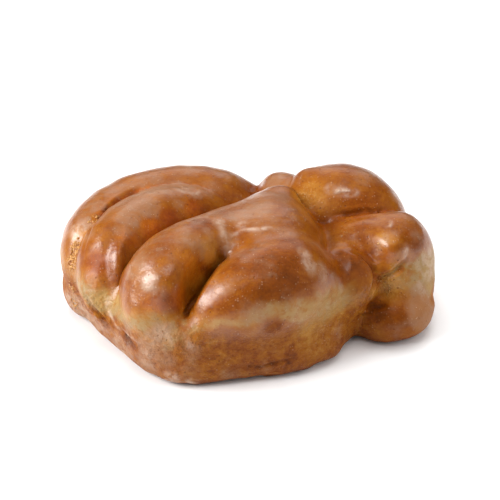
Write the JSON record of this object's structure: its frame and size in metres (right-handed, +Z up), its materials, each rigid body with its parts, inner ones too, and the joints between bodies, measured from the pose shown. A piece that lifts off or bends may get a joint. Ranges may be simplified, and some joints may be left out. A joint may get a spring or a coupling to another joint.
{
  "type": "apple fritter",
  "caption": "Glazed yeast-dough fritter: a low, flat-based cushion of fried dough whose top is slashed into puffed lobes with deep folds.",
  "frame": {"origin": "centre of the box of the base, on the surface the fritter rests on", "axes": "+X along the length, from the three fingers to the rolled end, +Y to the back, +Z up out of the slashed top"},
  "size_m": [0.112, 0.08, 0.038],
  "materials": {
    "glazed_crust": "fried golden-brown crust with a pale band round the waist, under a thin clear sugar glaze: satin on the sides, glossy on the top"
  },
  "bodies": {
    "root": {"fritter": "glazed_crust"}
  },
  "joints": []
}
